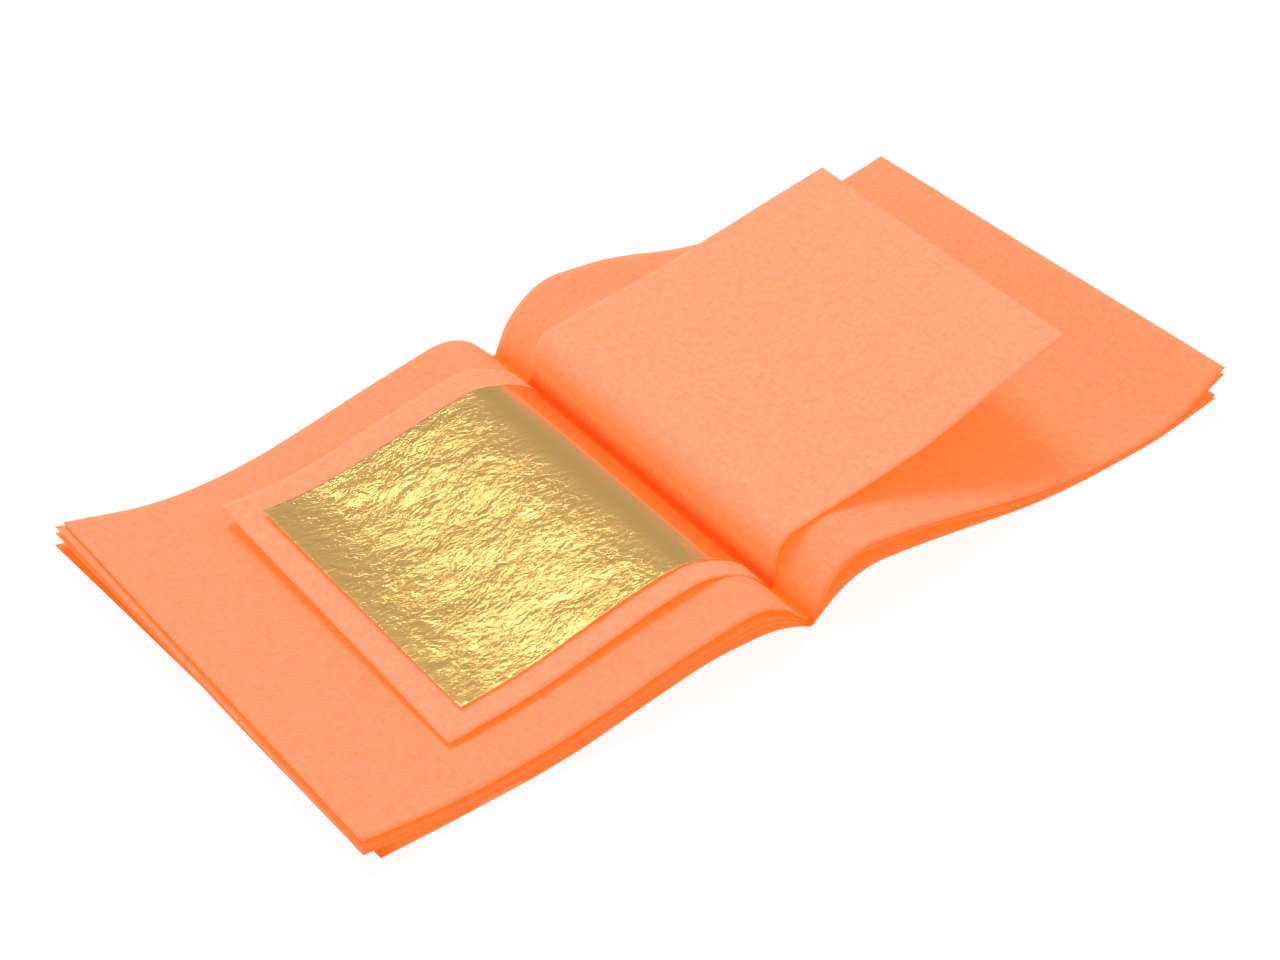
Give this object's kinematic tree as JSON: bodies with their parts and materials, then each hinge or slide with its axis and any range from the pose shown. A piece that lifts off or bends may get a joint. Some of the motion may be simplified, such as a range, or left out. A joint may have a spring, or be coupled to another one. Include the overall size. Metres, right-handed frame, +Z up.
{
  "type": "gold leaf booklet",
  "caption": "Open booklet of orange tissue leaves with a square of gold leaf held in a small folded tissue that turns over it.",
  "frame": {"origin": "on the table under the middle of the fold", "axes": "+Z up off the table, +X across the booklet towards its right-hand leaves, +Y along the fold towards the back"},
  "size_m": [0.1304, 0.067, 0.0165],
  "materials": {
    "leaf_tissue": "matte",
    "small_tissue": "matte",
    "gold": "gloss",
    "paste": "matte"
  },
  "bodies": {
    "booklet_base": {"spine_paste": "paste", "left_leaf_4": "leaf_tissue", "right_leaf_4": "leaf_tissue", "folded_tissue_3": "small_tissue", "enclosed_gold_leaf_3": "gold"},
    "left_page_3": {"left_leaf_3": "leaf_tissue", "folded_tissue_2": "small_tissue", "enclosed_gold_leaf_2": "gold"},
    "left_page_2": {"left_leaf_2": "leaf_tissue", "folded_tissue_1": "small_tissue", "enclosed_gold_leaf_1": "gold"},
    "left_page_1": {"left_leaf_1": "leaf_tissue"},
    "carrier_page": {"carrier_tissue": "small_tissue"},
    "loose_gold": {"gold_leaf": "gold"},
    "right_page_3": {"right_leaf_3": "leaf_tissue"},
    "right_page_2": {"right_leaf_2": "leaf_tissue"},
    "right_page_1": {"right_leaf_1": "leaf_tissue"},
    "cover_root": {"cover_tissue_root": "small_tissue"},
    "cover_page": {"cover_tissue": "small_tissue"}
  },
  "joints": [
    {"name": "left_page_3_fold", "type": "hinge", "parent": "booklet_base", "child": "left_page_3", "pos_m": [-0.00025, 0, 0.00055], "axis": [0, 1, 0], "range_deg": [0, 10]},
    {"name": "left_page_2_fold", "type": "hinge", "parent": "left_page_3", "child": "left_page_2", "pos_m": [-0.00025, 0, 0.00075], "axis": [0, 1, 0], "range_deg": [0, 10]},
    {"name": "left_page_1_fold", "type": "hinge", "parent": "left_page_2", "child": "left_page_1", "pos_m": [-0.00025, 0, 0.00095], "axis": [0, 1, 0], "range_deg": [0, 12]},
    {"name": "carrier_fold", "type": "hinge", "parent": "left_page_1", "child": "carrier_page", "pos_m": [-0.00025, 0, 0.0013], "axis": [0, 1, 0], "range_deg": [0, 13]},
    {"name": "gold_lift", "type": "slide", "parent": "carrier_page", "child": "loose_gold", "axis": [-0.5, 0, 0.866], "range_m": [0, 0.03]},
    {"name": "right_page_3_fold", "type": "hinge", "parent": "booklet_base", "child": "right_page_3", "pos_m": [0.00025, 0, 0.00055], "axis": [0, 1, 0], "range_deg": [-6, 0]},
    {"name": "right_page_2_fold", "type": "hinge", "parent": "right_page_3", "child": "right_page_2", "pos_m": [0.00025, 0, 0.00075], "axis": [0, 1, 0], "range_deg": [-6, 0]},
    {"name": "right_page_1_fold", "type": "hinge", "parent": "right_page_2", "child": "right_page_1", "pos_m": [0.00025, 0, 0.00095], "axis": [0, 1, 0], "range_deg": [-8, 0]},
    {"name": "cover_fold", "type": "hinge", "parent": "right_page_1", "child": "cover_root", "pos_m": [0.00025, 0, 0.0013], "axis": [0, 1, 0], "range_deg": [-8, 0]},
    {"name": "cover_bend", "type": "hinge", "parent": "cover_root", "child": "cover_page", "pos_m": [0.0044, 0, 0.00816], "axis": [0, 1, 0], "range_deg": [-135, 0]}
  ]
}
